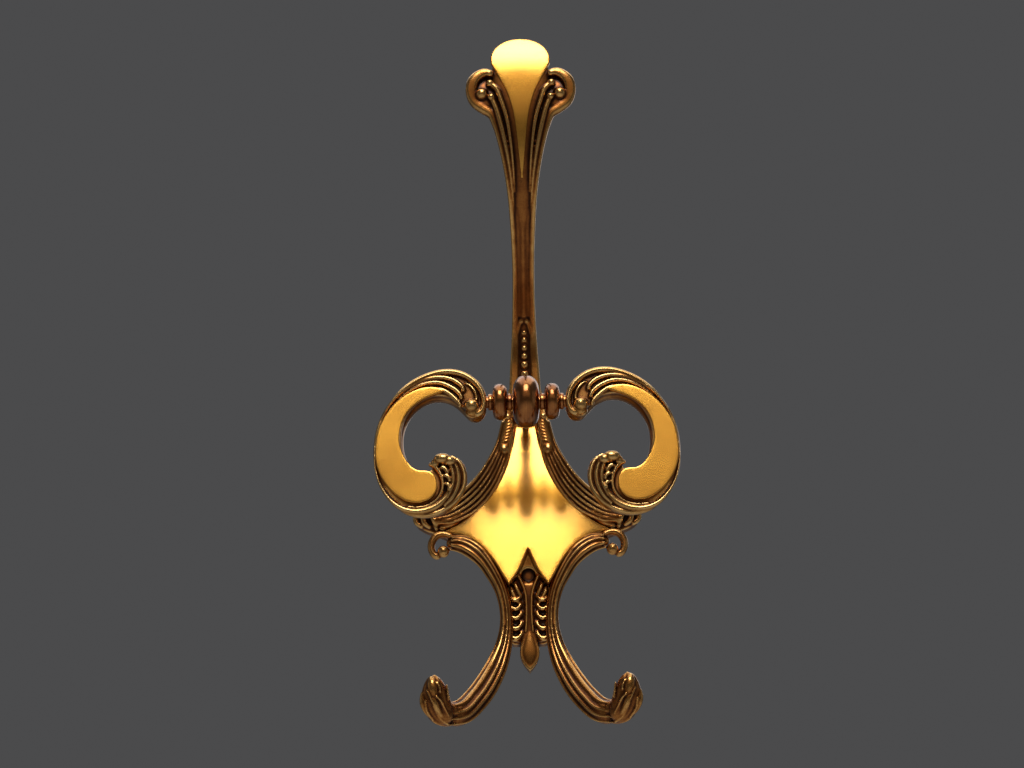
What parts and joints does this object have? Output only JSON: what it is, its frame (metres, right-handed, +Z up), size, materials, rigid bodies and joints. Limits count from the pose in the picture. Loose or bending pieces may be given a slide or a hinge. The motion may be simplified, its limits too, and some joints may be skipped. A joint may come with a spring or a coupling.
{
  "type": "coat and hat hook",
  "caption": "Ornate wall coat hook: shield back plate, tall flared hat hook, lower hooks with leaf tips, and C-scroll side arms that hang from a turned crossbar.",
  "frame": {"origin": "on the flat back face of the back plate, on the centre line, level with the shield's two side points", "axes": "+X to the right as seen from the front, +Z up, +Y into the wall; the hook stands out towards -Y"},
  "size_m": [0.1018, 0.066, 0.2307],
  "materials": {
    "antique_brass": "satin, dark brown patina in the recesses with rubbed golden ridges",
    "polished_brass": "satin polished, fine level brush lines, lacquered",
    "turned_brass": "smooth satin, copper-brown",
    "screw_steel": "plain turned"
  },
  "bodies": {
    "frame": {"back_plate": "antique_brass", "shield_panel": "polished_brass", "hat_hook": "antique_brass", "hub_barrel": "turned_brass", "crossbar_rod": "screw_steel", "hub_screw": "screw_steel", "lower_hook_left": "antique_brass", "lower_hook_right": "antique_brass", "inner_collar_left": "turned_brass", "inner_collar_right": "turned_brass", "bobbin_left": "turned_brass", "bobbin_right": "turned_brass", "outer_collar_left": "turned_brass", "outer_collar_right": "turned_brass", "hook_screw_left_upper": "screw_steel", "hook_screw_left_lower": "screw_steel", "hook_screw_right_upper": "screw_steel", "hook_screw_right_lower": "screw_steel"},
    "arm_left": {"side_arm_left": "antique_brass"},
    "arm_right": {"side_arm_right": "antique_brass"}
  },
  "joints": [
    {"name": "side_arm_left_swing", "type": "hinge", "parent": "frame", "child": "arm_left", "pos_m": [-0.0152, -0.04, 0.0334], "axis": [-1, 0, 0], "range_deg": [-30, 180]},
    {"name": "side_arm_right_swing", "type": "hinge", "parent": "frame", "child": "arm_right", "pos_m": [0.0152, -0.04, 0.0334], "axis": [-1, 0, 0], "range_deg": [-30, 180]}
  ]
}
